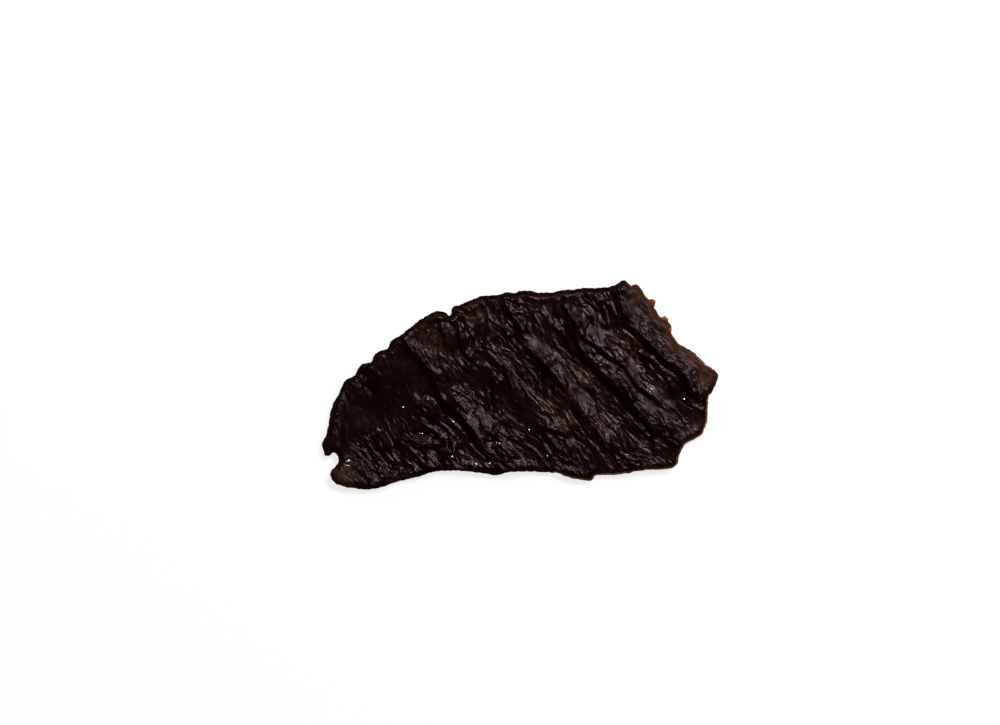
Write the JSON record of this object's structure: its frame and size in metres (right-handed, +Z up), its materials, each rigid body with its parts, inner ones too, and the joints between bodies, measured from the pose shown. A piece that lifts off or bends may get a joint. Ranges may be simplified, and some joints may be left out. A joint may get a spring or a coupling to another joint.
{
  "type": "dried beef liver slab",
  "caption": "Thin, torn-edged slab of dried beef liver, dark and glossy, with diagonal wrinkled ridges left by a drying rack.",
  "frame": {"origin": "middle of the slab's outer box, on the table that it lies on", "axes": "+X along the slab's length, with the torn tip at +X and the notched lobe at -X; +Y across it, towards the upper edge of the shown face; +Z up, out of the shown face"},
  "size_m": [0.1204, 0.0636, 0.0068],
  "materials": {
    "dried_liver": "near-black red-brown dried meat, glossy and wrinkled, thin amber-brown edge"
  },
  "bodies": {
    "root": {"liver_slab": "dried_liver"}
  },
  "joints": []
}
